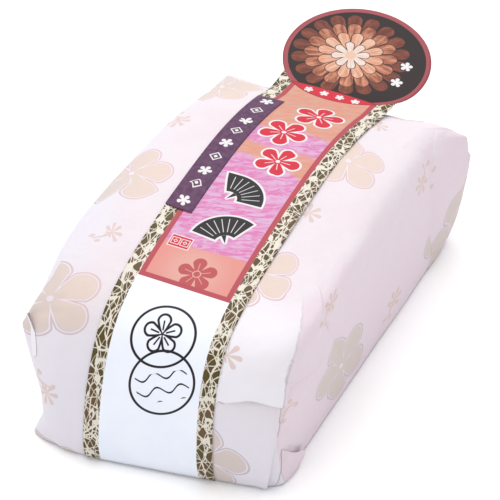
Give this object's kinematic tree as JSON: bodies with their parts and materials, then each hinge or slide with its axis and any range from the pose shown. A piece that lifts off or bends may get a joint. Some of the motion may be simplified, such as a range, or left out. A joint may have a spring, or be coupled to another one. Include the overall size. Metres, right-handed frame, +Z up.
{
  "type": "paper-wrapped monaka pack",
  "caption": "Soft oblong pack of wafer sweets, wrapped in paper with folded ends, under a bent card label band that ends in a round overhanging disc.",
  "frame": {"origin": "middle of the flat underside of the wrapped block", "axes": "+Z up, +Y along the pack towards the label's disc, +X to the right seen from the front end"},
  "size_m": [0.1256, 0.2502, 0.079],
  "materials": {
    "wrap_paper": "smooth uncoated printed paper",
    "label_card": "satin coated printed card",
    "sticker_paper": "matt printed sticker"
  },
  "bodies": {
    "root": {"wrapped_block": "wrap_paper", "label_band": "label_card", "side_sticker": "sticker_paper"}
  },
  "joints": []
}
